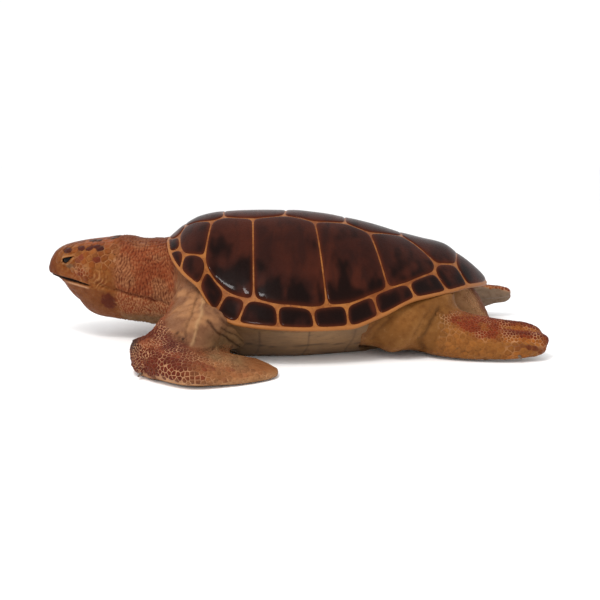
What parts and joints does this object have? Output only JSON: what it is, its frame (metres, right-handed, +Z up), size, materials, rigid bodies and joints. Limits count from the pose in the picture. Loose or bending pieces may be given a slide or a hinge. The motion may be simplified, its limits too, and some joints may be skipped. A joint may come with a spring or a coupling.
{
  "type": "loggerhead turtle",
  "caption": "Life-size still model of a loggerhead sea turtle lying on its plastron, head forward, front flippers bent and swept back, hind flippers trailing.",
  "frame": {"origin": "on the floor under the middle of the whole animal's box", "axes": "+X from the head towards the tail, +Y to the animal's right, +Z up"},
  "size_m": [1.4298, 1.086, 0.3713],
  "materials": {
    "shell_plate": "dark red-brown horn, polished",
    "shell_base": "ochre horn seams, satin",
    "plastron": "tan to yellow-brown horn plates, satin",
    "head_skin": "horny head plates, orange-brown with cream edges, satin",
    "neck_skin": "wrinkled skin, pinkish brown",
    "body_skin": "smooth tan skin",
    "flipper_skin": "scaled skin, orange-brown with cream edges",
    "eye": "wet black",
    "claw": "dark horn"
  },
  "bodies": {
    "root": {"carapace": "shell_base", "costal_plate_1_left": "shell_plate", "costal_plate_1_right": "shell_plate", "costal_plate_2_left": "shell_plate", "costal_plate_2_right": "shell_plate", "costal_plate_3_left": "shell_plate", "costal_plate_3_right": "shell_plate", "costal_plate_4_left": "shell_plate", "costal_plate_4_right": "shell_plate", "costal_plate_5_left": "shell_plate", "costal_plate_5_right": "shell_plate", "eye_left": "eye", "eye_right": "eye", "front_claw_left": "claw", "front_claw_right": "claw", "front_flipper_left": "flipper_skin", "front_flipper_right": "flipper_skin", "head": "head_skin", "hind_claw_left": "claw", "hind_claw_right": "claw", "hind_flipper_left": "flipper_skin", "hind_flipper_right": "flipper_skin", "jaw": "head_skin", "marginal_plate_10_left": "shell_plate", "marginal_plate_10_right": "shell_plate", "marginal_plate_11_left": "shell_plate", "marginal_plate_11_right": "shell_plate", "marginal_plate_12_left": "shell_plate", "marginal_plate_12_right": "shell_plate", "marginal_plate_13_left": "shell_plate", "marginal_plate_13_right": "shell_plate", "marginal_plate_1_left": "shell_plate", "marginal_plate_1_right": "shell_plate", "marginal_plate_2_left": "shell_plate", "marginal_plate_2_right": "shell_plate", "marginal_plate_3_left": "shell_plate", "marginal_plate_3_right": "shell_plate", "marginal_plate_4_left": "shell_plate", "marginal_plate_4_right": "shell_plate", "marginal_plate_5_left": "shell_plate", "marginal_plate_5_right": "shell_plate", "marginal_plate_6_left": "shell_plate", "marginal_plate_6_right": "shell_plate", "marginal_plate_7_left": "shell_plate", "marginal_plate_7_right": "shell_plate", "marginal_plate_8_left": "shell_plate", "marginal_plate_8_right": "shell_plate", "marginal_plate_9_left": "shell_plate", "marginal_plate_9_right": "shell_plate", "neck": "neck_skin", "nuchal_plate": "shell_plate", "plastron": "plastron", "tail": "body_skin", "trunk": "body_skin", "vertebral_plate_1": "shell_plate", "vertebral_plate_2": "shell_plate", "vertebral_plate_3": "shell_plate", "vertebral_plate_4": "shell_plate", "vertebral_plate_5": "shell_plate"}
  },
  "joints": []
}
